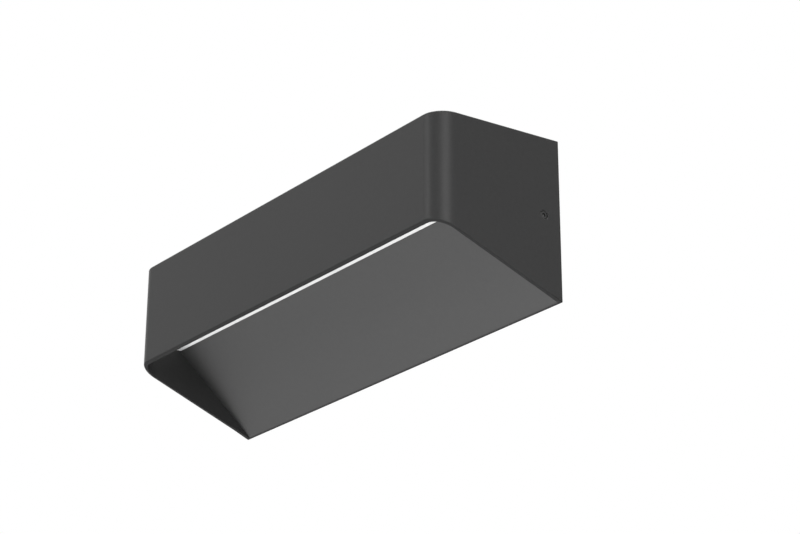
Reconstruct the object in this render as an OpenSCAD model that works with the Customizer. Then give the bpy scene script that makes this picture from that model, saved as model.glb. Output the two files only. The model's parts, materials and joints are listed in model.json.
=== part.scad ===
// Outdoor wall light that shines down through a slot behind its front wall.
// A cast shade with a sloping inner face is pushed over a steel wall bracket
// and held by one set screw in each side. Its gear sits in a sealed space.
// Frame: +X to the right seen from the room, +Y into the wall, +Z up.
// The origin is the centre of the bracket's wall face.
// A depth is a distance from the wall, so it stands for a negative Y.

/* [Shade] */
// Width of the shade
body_w = 270; // [264:1:300]
// Depth from the wall to the front face
body_d = 70; // [69:0.5:74]
// Height of the shade at the wall
back_h = 80; // [78:0.5:90]
// Height of the front face
front_h = 52; // [48:0.5:58]
// Radius of the two upright front corners
corner_r = 11; // [6:0.5:12]
// Thickness of the cast walls
wall_t = 2.5; // [2:0.1:2.8]

/* [Light opening] */
// Depth of the sloping inner face at its front edge
slope_run = 44.6; // [43:0.2:46]
// Height of the space above the diffuser's seat
upper_h = 37; // [36:0.5:40]
// Depth of the ledge on the front wall that carries the diffuser
ledge_d = 2.5; // [1.5:0.1:3]
// Thickness of the opal diffuser
diffuser_t = 3; // [2:0.5:4]
// Thickness of the silicone frame on the diffuser
seal_t = 1.5; // [1:0.1:2]

/* [Light engine] */
// Height of the light box above its seal
carrier_h = 10; // [9:0.5:11]
// Thickness of the light box's aluminium sheet
carrier_t = 1.5; // [1:0.1:2]
// Gap between the light box's ends and the side walls
carrier_gap = 5.5; // [5.5:0.5:9]
// Gap between the light board and the light box's long walls
board_side_gap = 1.2; // [0.8:0.1:2]
// Thickness of the light board
board_t = 1.6; // [1:0.1:2]
// Distance between the middles of the light chips
led_pitch = 9.4; // [9.2:0.1:10]

/* [Gear space] */
// Depth of the open space behind the rear cover
recess_d = 15; // [14.6:0.1:16]
// Thickness of the rear cover
cover_t = 2.5; // [2:0.1:3]
// Thickness of the foam frame under the rear cover
gasket_t = 1.5; // [1:0.1:2]
// Width of the cast frame that the rear cover is screwed to
frame_w = 6; // [5.6:0.1:6.4]
// Thickness of the cast frame
frame_t = 4; // [3:0.1:5]

/* [Driver] */
// Room for the light leads between the cast frame and the driver's left end
driver_end_gap = 22.5; // [20:0.5:30]
// Distance from the driver's right end to the middle of the cable hole
driver_gap = 29; // [28:0.5:34]
// Gap between the driver and the light box in front of it
driver_front_gap = 5.1; // [4.5:0.1:7]
// Wall of the driver's case
case_t = 1.5; // [1:0.1:2]

/* [Terminal block] */
// Width of one pole
pole_w = 12; // [11:0.2:13]
// Height of the block
block_h = 18; // [17:0.5:20]
// Depth of the block
block_d = 16; // [15:0.5:18]

/* [Cable way] */
// Distance from the terminal block to the middle of the cable hole
block_gap = 22; // [21:0.5:24]
// Diameter of the cable hole in the bracket
cable_hole_d = 22; // [18:0.5:24]
// Diameter of the supply cable's hole in the grommet
grommet_bore_d = 8; // [6:0.5:10]

/* [Wall bracket] */
// Thickness of the bracket's steel
bracket_t = 2; // [1.5:0.1:2.5]
// Height of the bracket
bracket_h = 60; // [50:1:62]
// Distance between the two wall slots
slot_spacing = 180; // [160:1:200]
// Width of a wall slot
slot_w = 5.5; // [4.5:0.1:6.5]
// Length of a wall slot
slot_l = 12; // [10:0.5:16]
// Height of the ears that the set screws press on
ear_h = 20; // [14:0.5:22]
// Reach of the ears from the wall
ear_d = 14; // [13.6:0.1:14.2]

/* [Side screws] */
// Diameter of the side set screws
set_screw_d = 3.9; // [3.5:0.1:4.5]
// Length of the side set screws
set_screw_l = 4; // [3:0.1:4.4]
// Distance of the side screws from the wall
set_screw_y = 9; // [8.8:0.1:9.2]
// Height of the side screws above the middle
set_screw_z = 1; // [-1:0.5:3]

/* [Hidden] */
$fn = 64;

// What a cut runs past its piece, and how far a cast feature roots in a wall
overrun = 1;
root = 1;
// Gap round a piece that is laid or pushed into place
fit_gap = 0.3;
// Radial gap of a screw in its thread, and in a plain hole
thread_gap = 0.05;
hole_gap = 0.3;

// Shade
low_z = -back_h / 2;
top_z = back_h / 2;
in_w = body_w - 2 * wall_t;
in_d = body_d - wall_t;
in_r = corner_r - wall_t;
in_top = top_z - wall_t;
rim_fall = (back_h - front_h) / body_d;

// Sloping face: its front edge is level with the diffuser's seat
seat_z = in_top - upper_h;
slope_rise = seat_z - low_z;
slope_a = atan(slope_rise / slope_run);
slope_thick_z = wall_t / cos(slope_a);
slope_thick_y = wall_t / sin(slope_a);
function slope_top(depth) = low_z + slope_thick_z + depth * slope_rise / slope_run;
ledge_h = 2;

// Light box on its seal: its rear face lines up with the sloping face's edge
seal_w = 3;
seal_z = seat_z + diffuser_t;
carrier_z = seal_z + seal_t;
carrier_x = in_w / 2 - carrier_gap;
carrier_front_gap = 1.5;
carrier_front = in_d - carrier_front_gap;
web_z = carrier_z + carrier_h;

// Bosses under the top that the light box is screwed to, from the rear
boss_w = 10;
boss_d = 10;
boss_clear = 2.5;
boss_low = web_z + carrier_t + boss_clear;
boss_screw_rise = 5.5;
boss_screw_z = boss_low + boss_screw_rise;
tab_rise = 10;
boss_x_shares = [-0.78, -0.26, 0.26, 0.78];
boss_xs = [for (share = boss_x_shares) share * in_w / 2];
boss_back = slope_run + carrier_t;
carrier_screw_l = 8;

// Light board under the light box's web
board_end_gap = 3.5;
board_x = carrier_x - carrier_t - board_end_gap;
board_y = (carrier_front + slope_run) / 2;
board_w = carrier_front - slope_run - 2 * (carrier_t + board_side_gap);
board_z = web_z - board_t;
led_end_gap = 12;
led_count = 2 * floor((board_x - led_end_gap) / led_pitch + 0.5);
led_w = 3.5;
led_d = 2.8;
led_t = 0.7;
board_screw_steps = [-9, -3, 3, 9];
board_screw_reach = 1;
connector_w = 7;
connector_d = 6;
connector_h = 4.5;
connector_end_gap = 1;
connector_x = -(board_x - connector_end_gap - connector_w / 2);
connector_z = board_z - connector_h / 2;
connector_pin_step = 2.8;
lead_way_r = 3;

// Rear cover and the cast frame that it is screwed to
cover_front = recess_d + cover_t;
frame_back = cover_front + gasket_t;
frame_front = frame_back + frame_t;
frame_low_rise = 5;
frame_low = slope_top(frame_front) + frame_low_rise;
frame_high = in_top - frame_w;
frame_x = in_w / 2 - frame_w;
cover_x = in_w / 2 - fit_gap;
cover_low = slope_top(cover_front) + fit_gap;
cover_high = in_top - fit_gap;
cover_screw_l = 7.5;
cover_screw_zs = [frame_low - frame_w / 2, in_top - frame_w / 2];
cover_screw_x_shares = [-1, -0.34, 0.34, 1];
cover_screw_xs = [for (share = cover_screw_x_shares) share * (frame_x + frame_w / 2)];

// Small screws and earth screws: radius, head radius and head height
small_r = 1.45;
small_head_r = 2.7;
small_head_h = 2;
earth_r = 1.95;
earth_head_r = 3.6;
earth_head_h = 2.6;
washer_r = 4.3;
washer_t = 0.8;
cross_length_share = 1.1;
cross_width_share = 0.22;
cross_depth_share = 0.5;

// Earth point of the casting, on the right
earth_inset = 14;
earth_x = frame_x - earth_inset;
earth_drop = 14;
earth_z = in_top - earth_drop;
earth_boss_w = 12;
earth_boss_d = 10;
earth_boss_drop = 20;
earth_boss_gap = 3;
earth_boss_back = frame_front + earth_boss_gap;
earth_screw_l = 8;
tag_r = 4;
tag_t = 0.8;
tag_neck_w = 3.2;
tag_neck_l = 5;
barrel_l = 5;
barrel_r = 2.2;
barrel_bore_r = 1.5;
barrel_y = earth_boss_back - tag_t / 2;
barrel_z = earth_z - tag_r - tag_neck_l;

// Terminal block, to the left of the earth point
poles = 3;
block_w = poles * pole_w;
block_end_gap = 18.5;
block_x = earth_x - earth_boss_w / 2 - block_end_gap - block_w;
block_front = cover_front + block_d;
block_rise_share = 0.62;
block_z = slope_top(block_front)
    + block_rise_share * (frame_high - slope_top(block_front) - block_h);
block_top = block_z + block_h;
block_mid_z = block_z + block_h / 2;
insert_w = 6;
insert_h = 14;
insert_y = cover_front + block_d / 2;
pocket_gap = 0.1;
wire_way_r = 1.3;
clamp_r = 1.4;
clamp_step = 3.8;
clamp_sink = 0.5;
function pole_x(pole) = block_x + (pole + 0.5) * pole_w;

// Grommet in the rear cover, to the left of the terminal block
cable_x = block_x - block_gap;
cable_z = 2;
grommet_r = 8;
grommet_flange_r = 11;
grommet_flange_t = 1.5;
grommet_nose_l = 5;
grommet_nose_t = 1.2;

// Driver: it fills the room between the left of the frame and the cable hole
driver_left = driver_end_gap - frame_x;
driver_right = cable_x - driver_gap;
driver_w = driver_right - driver_left;
driver_front = slope_run - driver_front_gap;
driver_rise = 2.75;
driver_drop = 1.5;
driver_z = slope_top(driver_front) + driver_rise;
driver_h = frame_high - driver_drop - driver_z;
driver_mid_z = driver_z + driver_h / 2;
lid_t = 1.5;
circuit_t = 1.6;
circuit_front = cover_front + lid_t + fit_gap + circuit_t;
circuit_room = driver_front - case_t - circuit_front;
circuit_end_gap = 7.5;
circuit_w = driver_w - 2 * circuit_end_gap;
function circuit_x(share) = driver_left + circuit_end_gap + share * circuit_w;
foot_w = 7;
foot_h = 9;
foot_t = 2;
foot_stand = 2;
cover_thread = 1.8;
driver_wire_r = 1.3;
driver_wire_y = (cover_front + driver_front) / 2;
driver_wire_shares = [0.4, 0.6];
driver_wire_zs = [for (share = driver_wire_shares) driver_z + share * driver_h];
transformer_w_share = 0.26;
transformer_x_share = 0.4;
transformer_h_share = 0.7;
transformer_d_share = 0.8;
capacitor_x_shares = [0.07, 0.22, 0.82];
capacitor_r_shares = [0.062, 0.062, 0.08];
capacitor_d_shares = [0.7, 0.7, 0.85];

// Wall bracket: the pads in the side walls leave its ears a gap
pad_r = 5;
ear_x = in_w / 2 - wall_t - fit_gap;
bend_r = 3;
bracket_earth_drop = 12;
bracket_earth_z = bracket_h / 2 - bracket_earth_drop;

// Side set screws
point_l = 1;
point_share = 0.45;
socket_share = 0.55;
socket_depth_share = 0.5;

// Leads: radius, sides of a tube and steps between the chosen points
lead_r = 0.9;
earth_lead_r = 1.1;
lead_straight = 2.5;
lead_turn = 5;
lead_sides = 8;
lead_steps = 5;
lead_first_side = [1, 2, 3];

// Routes: the share of the way to the end, then of the bow and of the rise
supply_route_shares = [[0.1, 0.5, 0.6], [0.42, 1, 1], [0.76, 0.5, 0.6]];
supply_rise_share = 0.64;
supply_rise = supply_rise_share * (in_top - block_top - lead_straight);
live_bow = 1.5;
neutral_bow = 5;
// The earth lead's shares are of the way along X, and of the way down
earth_route_shares = [[0.14, -0.1], [0.42, 0.4], [0.72, 1.05], [0.93, 1.25]];
// The light leads' shares are of the way to the connector along X, Y and Z
light_route_shares = [[0.62, 0.3, 0], [1, 0.72, 0.55]];

// Helpers for solids

// A rectangle seen from above, with its two front corners rounded
module plan(w, front, r, back) {
    translate([-w / 2, -(front - r)]) square([w, front - r + back]);
    translate([-(w / 2 - r), -front]) square([w - 2 * r, front + back]);
    for (side = [-1, 1])
        translate([side * (w / 2 - r), -(front - r)]) circle(r = r);
}

// An outline in Y and Z, drawn out along X and centred there
module along_x(length) {
    rotate([90, 0, 90]) linear_extrude(height = length, center = true) children();
}

// A box given by its lowest and highest corners
module box(low, high) {
    translate(low) cube(high - low);
}

// A round rod along Y between two depths
module rod_y(x, z, r, depth_a, depth_b) {
    translate([x, -depth_b, z]) rotate([-90, 0, 0]) cylinder(r = r, h = depth_b - depth_a);
}

// A round rod along X between two places
module rod_x(x_a, x_b, depth, z, r) {
    translate([x_a, -depth, z]) rotate([0, 90, 0]) cylinder(r = r, h = x_b - x_a);
}

// A pan screw on its seat: the shank runs down and the crossed head up
module pan_screw(r, length, head_r, head_h) {
    cross_l = head_r * cross_length_share;
    cross_w = head_r * cross_width_share;
    difference() {
        union() {
            translate([0, 0, -length]) cylinder(r = r, h = length + head_h / 2);
            cylinder(r = head_r, h = head_h);
        }
        for (turn = [0, 90])
            rotate([0, 0, turn])
                translate([-cross_l / 2, -cross_w / 2, head_h * (1 - cross_depth_share)])
                    cube([cross_l, cross_w, head_h]);
    }
}

// A pan screw driven in from the wall's side
module screw_from_back(x, depth, z, r, length, head_r, head_h) {
    translate([x, -depth, z]) rotate([-90, 0, 0]) pan_screw(r, length, head_r, head_h);
}

// A pan screw driven in from the room's side
module screw_from_front(x, depth, z, r, length, head_r, head_h) {
    translate([x, -depth, z]) rotate([90, 0, 0]) pan_screw(r, length, head_r, head_h);
}

// Leads: a tube of flat sides, swept along a smooth curve through chosen points

function unit(v) = v / norm(v);
function curve_point(a, b, c, d, t) =
    (2 * b + (c - a) * t + (2 * a - 5 * b + 4 * c - d) * t * t
     + (3 * b - a - 3 * c + d) * t * t * t) / 2;
function smooth(p, n) = concat(
    [for (i = [0 : len(p) - 2]) for (k = [0 : n - 1])
        curve_point(p[max(i - 1, 0)], p[i], p[i + 1], p[min(i + 2, len(p) - 1)], k / n)],
    [p[len(p) - 1]]);
function tangents(p) = [for (i = [0 : len(p) - 1])
    unit(p[min(i + 1, len(p) - 1)] - p[max(i - 1, 0)])];
function square_to(side, t) = unit(side - t * (side * t));
function sides_along(t, i = 0, side = lead_first_side) =
    i == len(t) ? [] :
    let (s = square_to(side, t[i])) concat([s], sides_along(t, i + 1, s));

module lead(points, r) {
    path = smooth(points, lead_steps);
    t = tangents(path);
    s = sides_along(t);
    n = lead_sides;
    last = len(path) - 1;
    rings = [for (i = [0 : last]) for (k = [0 : n - 1])
        path[i] + r * (cos(360 * k / n) * s[i] + sin(360 * k / n) * cross(t[i], s[i]))];
    walls = [for (i = [0 : last - 1]) for (k = [0 : n - 1])
        [i * n + k, (i + 1) * n + k, (i + 1) * n + (k + 1) % n, i * n + (k + 1) % n]];
    start = [for (k = [0 : n - 1]) k];
    end = [for (k = [n - 1 : -1 : 0]) last * n + k];
    polyhedron(points = rings, faces = concat(walls, [start, end]), convexity = 8);
}

// Wall bracket: a steel plate with an ear bent forward at each end

module wall_bracket() {
    plate_x = ear_x - bend_r;
    color("silver") difference() {
        union() {
            box([-plate_x, -bracket_t, -bracket_h / 2], [plate_x, 0, bracket_h / 2]);
            bracket_ear();
            mirror([1, 0, 0]) bracket_ear();
        }
        for (side = [-1, 1]) wall_slot(side * slot_spacing / 2);
        rod_y(cable_x, cable_z, cable_hole_d / 2, -overrun, bracket_t + overrun);
        rod_y(-cable_x, bracket_earth_z, earth_r + thread_gap,
              -overrun, bracket_t + overrun);
    }
}

// The right ear: a quarter bend and a straight leg
module bracket_ear() {
    ear_z = set_screw_z - ear_h / 2;
    translate([ear_x - bend_r, -bend_r, ear_z])
        rotate_extrude(angle = 90)
            translate([bend_r - bracket_t, 0]) square([bracket_t, ear_h]);
    box([ear_x - bracket_t, -ear_d, ear_z], [ear_x, -bend_r, ear_z + ear_h]);
}

// A slot with round ends for a wall screw
module wall_slot(x) {
    end_x = (slot_l - slot_w) / 2;
    for (side = [-1, 1])
        rod_y(x + side * end_x, 0, slot_w / 2, -overrun, bracket_t + overrun);
    box([x - end_x, -bracket_t - overrun, -slot_w / 2],
        [x + end_x, overrun, slot_w / 2]);
}

module bracket_earth_screw() {
    seat = bracket_t + washer_t;
    color("gold") screw_from_front(-cable_x, seat, bracket_earth_z,
                                   earth_r, seat, earth_head_r, earth_head_h);
}

module bracket_earth_washer() {
    color("gold") difference() {
        rod_y(-cable_x, bracket_earth_z, washer_r, bracket_t, bracket_t + washer_t);
        rod_y(-cable_x, bracket_earth_z, earth_r + hole_gap,
              bracket_t - overrun, bracket_t + washer_t + overrun);
    }
}

// Housing: shade, sloping face, frame and bosses in one casting

module housing() {
    color([0.29, 0.29, 0.3]) difference() {
        union() {
            shell();
            sloping_face();
            diffuser_ledge();
            cover_frame();
            for (x = boss_xs)
                hanging_boss(x, boss_w, boss_back, boss_d, boss_low);
            hanging_boss(earth_x, earth_boss_w, earth_boss_back, earth_boss_d,
                         in_top - earth_boss_drop);
            for (side = [-1, 1]) set_screw_pad(side);
        }
        for (x = boss_xs)
            rod_y(x, boss_screw_z, small_r + thread_gap,
                  boss_back - overrun, boss_back + carrier_screw_l);
        for (x = cover_screw_xs, z = cover_screw_zs)
            rod_y(x, z, small_r + thread_gap, frame_back - overrun, frame_front + overrun);
        rod_y(earth_x, earth_z, earth_r + thread_gap,
              earth_boss_back - overrun, earth_boss_back + earth_screw_l);
        for (side = [-1, 1])
            rod_x(side * body_w / 2 - (2 * wall_t + overrun),
                  side * body_w / 2 + 2 * wall_t + overrun,
                  set_screw_y, set_screw_z, set_screw_d / 2 + thread_gap);
    }
}

// The outer walls and the top, cut off below by the sloping rim
module shell() {
    difference() {
        translate([0, 0, low_z])
            linear_extrude(height = back_h) plan(body_w, body_d, corner_r, 0);
        translate([0, 0, low_z - overrun])
            linear_extrude(height = back_h - wall_t + overrun)
                plan(in_w, in_d, in_r, overrun);
        along_x(body_w + 2 * overrun)
            polygon([[overrun, low_z - overrun * rim_fall],
                     [-body_d - overrun, low_z + (body_d + overrun) * rim_fall],
                     [-body_d - overrun, low_z - 2 * overrun],
                     [overrun, low_z - 2 * overrun]]);
    }
}

module sloping_face() {
    along_x(in_w + 2 * root)
        polygon([[0, low_z],
                 [0, low_z + slope_thick_z],
                 [-(slope_run - slope_thick_y), seat_z],
                 [-slope_run, seat_z]]);
}

// The ledge follows the front wall and its round corners
module diffuser_ledge() {
    translate([0, 0, seat_z - ledge_h])
        linear_extrude(height = ledge_h)
            intersection() {
                plan(in_w + root, in_d + root / 2, in_r + root / 2, 0);
                translate([-in_w / 2 - root, -in_d - root])
                    square([in_w + 2 * root, ledge_d + root]);
            }
}

// The frame stands on the sloping face and runs round the walls
module cover_frame() {
    difference() {
        along_x(in_w + 2 * root)
            polygon([[-frame_back, slope_top(frame_back) - slope_thick_z / 2],
                     [-frame_back, in_top + root],
                     [-frame_front, in_top + root],
                     [-frame_front, slope_top(frame_front) - slope_thick_z / 2]]);
        box([-frame_x, -frame_front - overrun, frame_low],
            [frame_x, -frame_back + overrun, frame_high]);
    }
}

module hanging_boss(x, w, back, d, low) {
    box([x - w / 2, -(back + d), low], [x + w / 2, -back, in_top + root]);
}

// A pad inside a side wall, for the length of the set screw's thread
module set_screw_pad(side) {
    middle = side * (in_w / 2 - wall_t / 2 + root / 2);
    half = (wall_t + root) / 2;
    rod_x(middle - half, middle + half, set_screw_y, set_screw_z, pad_r);
}

// Side set screws: a flat point on the bracket's ear, a socket outside

module side_screw() {
    r = set_screw_d / 2;
    socket_r = r * socket_share;
    difference() {
        union() {
            translate([ear_x, -set_screw_y, set_screw_z])
                rotate([0, 90, 0]) cylinder(r1 = r * point_share, r2 = r, h = point_l);
            rod_x(ear_x + point_l, ear_x + set_screw_l, set_screw_y, set_screw_z, r);
        }
        translate([ear_x + set_screw_l * (1 - socket_depth_share),
                   -set_screw_y, set_screw_z])
            rotate([0, 90, 0]) cylinder(r = socket_r, h = set_screw_l, $fn = 6);
    }
}

module side_screw_right() {
    color("dimgray") side_screw();
}

module side_screw_left() {
    color("dimgray") mirror([1, 0, 0]) side_screw();
}

// Light: diffuser, its seal, the light box and the board with its chips

module diffuser() {
    color("white")
        translate([0, 0, seat_z])
            linear_extrude(height = diffuser_t)
                intersection() {
                    plan(in_w - 2 * fit_gap, in_d - fit_gap, in_r - fit_gap, 0);
                    translate([-in_w / 2, -in_d])
                        square([in_w, in_d - slope_run + slope_thick_y - fit_gap]);
                }
}

module diffuser_seal() {
    color("gainsboro") difference() {
        box([-carrier_x, -carrier_front, seal_z], [carrier_x, -slope_run, carrier_z]);
        box([-carrier_x + seal_w, -carrier_front + seal_w, seal_z - overrun],
            [carrier_x - seal_w, -slope_run - seal_w, carrier_z + overrun]);
    }
}

// A tray with its open side down and tabs that stand up to the bosses
module light_carrier() {
    color("lightgray") difference() {
        union() {
            box([-carrier_x, -carrier_front, carrier_z],
                [carrier_x, -slope_run, web_z + carrier_t]);
            for (x = boss_xs)
                box([x - boss_w / 2, -boss_back, web_z],
                    [x + boss_w / 2, -slope_run, boss_low + tab_rise]);
        }
        box([-carrier_x + carrier_t, -carrier_front + carrier_t, carrier_z - overrun],
            [carrier_x - carrier_t, -boss_back, web_z]);
        for (x = boss_xs)
            rod_y(x, boss_screw_z, small_r + hole_gap,
                  slope_run - overrun, boss_back + overrun);
        for (step = board_screw_steps)
            translate([step * led_pitch, -board_y, web_z - overrun])
                cylinder(r = small_r + thread_gap, h = carrier_t + 2 * overrun);
        rod_y(connector_x, connector_z, lead_way_r,
              slope_run - overrun, boss_back + overrun);
    }
}

module carrier_screws() {
    color("silver")
        for (x = boss_xs)
            screw_from_back(x, slope_run, boss_screw_z,
                            small_r, carrier_screw_l, small_head_r, small_head_h);
}

module led_board() {
    color("white") difference() {
        box([-board_x, -board_y - board_w / 2, board_z],
            [board_x, -board_y + board_w / 2, web_z]);
        for (step = board_screw_steps)
            translate([step * led_pitch, -board_y, board_z - overrun])
                cylinder(r = small_r + hole_gap, h = board_t + 2 * overrun);
    }
}

module led_chips() {
    color("khaki")
        for (i = [0 : led_count - 1])
            translate([(i - (led_count - 1) / 2) * led_pitch, -board_y, board_z - led_t])
                translate([-led_w / 2, -led_d / 2, 0]) cube([led_w, led_d, led_t]);
}

module led_board_screws() {
    color("silver")
        for (step = board_screw_steps)
            translate([step * led_pitch, -board_y, board_z])
                rotate([180, 0, 0])
                    pan_screw(small_r, board_t + carrier_t + board_screw_reach,
                              small_head_r, small_head_h);
}

module led_connector() {
    color("whitesmoke") difference() {
        box([connector_x - connector_w / 2, -board_y - connector_d / 2,
             board_z - connector_h],
            [connector_x + connector_w / 2, -board_y + connector_d / 2, board_z]);
        for (side = [-1, 1])
            rod_y(connector_x + side * connector_pin_step / 2, connector_z,
                  lead_r + pocket_gap, board_y - connector_d / 2 - overrun, board_y);
    }
}

// Rear cover, its gasket and screws, and the grommet for the supply cable

module rear_cover() {
    color([0.16, 0.16, 0.17]) difference() {
        union() {
            box([-cover_x, -cover_front, cover_low], [cover_x, -recess_d, cover_high]);
            for (x = [driver_left - foot_w, driver_right])
                box([x, -cover_front - foot_stand, driver_mid_z - foot_h / 2],
                    [x + foot_w, -recess_d - cover_t / 2, driver_mid_z + foot_h / 2]);
        }
        for (x = cover_screw_xs, z = cover_screw_zs)
            rod_y(x, z, small_r + hole_gap, recess_d - overrun, cover_front + overrun);
        rod_y(cable_x, cable_z, grommet_r + pocket_gap,
              recess_d - overrun, cover_front + overrun);
        for (x = [driver_left - foot_w / 2, driver_right + foot_w / 2])
            rod_y(x, driver_mid_z, small_r + thread_gap,
                  cover_front - cover_thread, cover_front + foot_stand + overrun);
        for (pole = [1 : poles - 1])
            rod_y(block_x + pole * pole_w, block_mid_z, small_r + thread_gap,
                  cover_front - cover_thread, cover_front + overrun);
    }
}

module cover_gasket() {
    color("dimgray") difference() {
        along_x(2 * cover_x)
            polygon([[-cover_front, slope_top(cover_front) + 2 * fit_gap],
                     [-cover_front, cover_high],
                     [-frame_back, cover_high],
                     [-frame_back, slope_top(frame_back) + 2 * fit_gap]]);
        box([-frame_x, -frame_back - overrun, frame_low],
            [frame_x, -cover_front + overrun, frame_high]);
        for (x = cover_screw_xs, z = cover_screw_zs)
            rod_y(x, z, small_r + hole_gap, cover_front - overrun, frame_back + overrun);
    }
}

module cover_screws() {
    color("silver")
        for (x = cover_screw_xs, z = cover_screw_zs)
            screw_from_back(x, recess_d, z, small_r, cover_screw_l,
                            small_head_r, small_head_h);
}

// A rubber sleeve with a flange on each side of the cover and a thin nose
module cable_grommet() {
    bore_r = grommet_bore_d / 2;
    color("black") difference() {
        union() {
            rod_y(cable_x, cable_z, grommet_flange_r, recess_d - grommet_flange_t, recess_d);
            rod_y(cable_x, cable_z, grommet_r, recess_d - grommet_flange_t / 2,
                  cover_front + grommet_flange_t / 2);
            rod_y(cable_x, cable_z, grommet_flange_r,
                  cover_front, cover_front + grommet_flange_t);
            translate([cable_x, -cover_front - grommet_flange_t / 2, cable_z])
                rotate([90, 0, 0])
                    cylinder(r1 = grommet_r, r2 = bore_r + grommet_nose_t,
                             h = grommet_nose_l + grommet_flange_t / 2);
        }
        rod_y(cable_x, cable_z, bore_r, recess_d - grommet_flange_t - overrun,
              cover_front + grommet_flange_t + grommet_nose_l + overrun);
    }
}

// Driver: a case and lid round a circuit board with its parts

module driver_case() {
    back = cover_front + lid_t;
    color("whitesmoke") difference() {
        union() {
            box([driver_left, -driver_front, driver_z],
                [driver_right, -back, driver_z + driver_h]);
            box([driver_left - foot_w, -cover_front - foot_stand - foot_t,
                 driver_mid_z - foot_h / 2],
                [driver_right + foot_w, -cover_front - foot_stand,
                 driver_mid_z + foot_h / 2]);
        }
        box([driver_left + case_t, -driver_front + case_t, driver_z + case_t],
            [driver_right - case_t, -back + overrun, driver_z + driver_h - case_t]);
        for (x = [driver_left - foot_w / 2, driver_right + foot_w / 2])
            rod_y(x, driver_mid_z, small_r + hole_gap, cover_front + foot_stand - overrun,
                  cover_front + foot_stand + foot_t + overrun);
        for (x = [driver_left, driver_right - case_t], z = driver_wire_zs)
            rod_x(x - overrun, x + case_t + overrun, driver_wire_y, z, driver_wire_r);
    }
}

module driver_lid() {
    color("whitesmoke")
        box([driver_left, -cover_front - lid_t, driver_z],
            [driver_right, -cover_front, driver_z + driver_h]);
}

module driver_board() {
    edge = case_t + fit_gap;
    color("seagreen")
        box([driver_left + edge, -circuit_front, driver_z + edge],
            [driver_right - edge, -circuit_front + circuit_t, driver_z + driver_h - edge]);
}

module driver_transformer() {
    w = circuit_w * transformer_w_share;
    h = driver_h * transformer_h_share;
    x = circuit_x(transformer_x_share);
    color("goldenrod")
        box([x, -circuit_front - circuit_room * transformer_d_share, driver_mid_z - h / 2],
            [x + w, -circuit_front, driver_mid_z + h / 2]);
}

module driver_capacitors() {
    color("slategray")
        for (i = [0 : len(capacitor_x_shares) - 1])
            rod_y(circuit_x(capacitor_x_shares[i]), driver_mid_z,
                  circuit_w * capacitor_r_shares[i], circuit_front,
                  circuit_front + circuit_room * capacitor_d_shares[i]);
}

module driver_screws() {
    seat = cover_front + foot_stand + foot_t;
    color("silver")
        for (x = [driver_left - foot_w / 2, driver_right + foot_w / 2])
            screw_from_front(x, seat, driver_mid_z, small_r,
                             foot_t + foot_stand + cover_thread - fit_gap,
                             small_head_r, small_head_h);
}

// Terminal block: a brass insert and two clamp screws for each pole

module terminal_block() {
    pocket = insert_w / 2 + pocket_gap;
    color("ivory") difference() {
        box([block_x, -block_front, block_z], [block_x + block_w, -cover_front, block_top]);
        for (pole = [0 : poles - 1]) {
            box([pole_x(pole) - pocket, -insert_y - pocket, block_z - overrun],
                [pole_x(pole) + pocket, -insert_y + pocket, block_top + overrun]);
            for (side = [-1, 1])
                rod_y(pole_x(pole), block_mid_z + side * clamp_step,
                      clamp_r + hole_gap, insert_y, block_front + overrun);
        }
        for (pole = [1 : poles - 1])
            rod_y(block_x + pole * pole_w, block_mid_z, small_r + hole_gap,
                  cover_front - overrun, block_front + overrun);
    }
}

module terminal_inserts() {
    half = insert_w / 2;
    color("gold")
        for (pole = [0 : poles - 1])
            difference() {
                box([pole_x(pole) - half, -insert_y - half, block_mid_z - insert_h / 2],
                    [pole_x(pole) + half, -insert_y + half, block_mid_z + insert_h / 2]);
                translate([pole_x(pole), -insert_y, block_mid_z - insert_h / 2 - overrun])
                    cylinder(r = wire_way_r, h = insert_h + 2 * overrun);
                for (side = [-1, 1])
                    rod_y(pole_x(pole), block_mid_z + side * clamp_step,
                          clamp_r + thread_gap, insert_y, insert_y + half + overrun);
            }
}

module terminal_screws() {
    tip = insert_y + earth_lead_r + fit_gap;
    end = block_front - clamp_sink;
    slot = clamp_r * cross_width_share;
    color("silver")
        for (pole = [0 : poles - 1], side = [-1, 1])
            difference() {
                rod_y(pole_x(pole), block_mid_z + side * clamp_step, clamp_r, tip, end);
                box([pole_x(pole) - clamp_r - overrun, -end - overrun,
                     block_mid_z + side * clamp_step - slot],
                    [pole_x(pole) + clamp_r + overrun, -end + clamp_r,
                     block_mid_z + side * clamp_step + slot]);
            }
}

module block_screws() {
    color("silver")
        for (pole = [1 : poles - 1])
            screw_from_front(block_x + pole * pole_w, block_front, block_mid_z, small_r,
                             block_d + cover_thread - fit_gap, small_head_r, small_head_h);
}

// Earth point: tag, washer and screw on the casting

module earth_screw() {
    color("gold")
        screw_from_back(earth_x, earth_boss_back - tag_t - washer_t, earth_z, earth_r,
                        earth_screw_l, earth_head_r, earth_head_h);
}

module earth_washer() {
    seat = earth_boss_back - tag_t;
    color("gold") difference() {
        rod_y(earth_x, earth_z, washer_r, seat - washer_t, seat);
        rod_y(earth_x, earth_z, earth_r + hole_gap, seat - washer_t - overrun, seat + overrun);
    }
}

// A ring with a flat neck and a barrel that holds the earth lead
module earth_tag() {
    seat = earth_boss_back;
    color("silver") difference() {
        union() {
            rod_y(earth_x, earth_z, tag_r, seat - tag_t, seat);
            box([earth_x - tag_neck_w / 2, -seat, barrel_z],
                [earth_x + tag_neck_w / 2, -seat + tag_t, earth_z]);
            translate([earth_x, -barrel_y, barrel_z - barrel_l])
                cylinder(r = barrel_r, h = barrel_l + root);
        }
        rod_y(earth_x, earth_z, earth_r + hole_gap, seat - tag_t - overrun, seat + overrun);
        translate([earth_x, -barrel_y, barrel_z - barrel_l - overrun])
            cylinder(r = barrel_bore_r, h = barrel_l + overrun);
    }
}

// Leads inside the gear space

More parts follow.
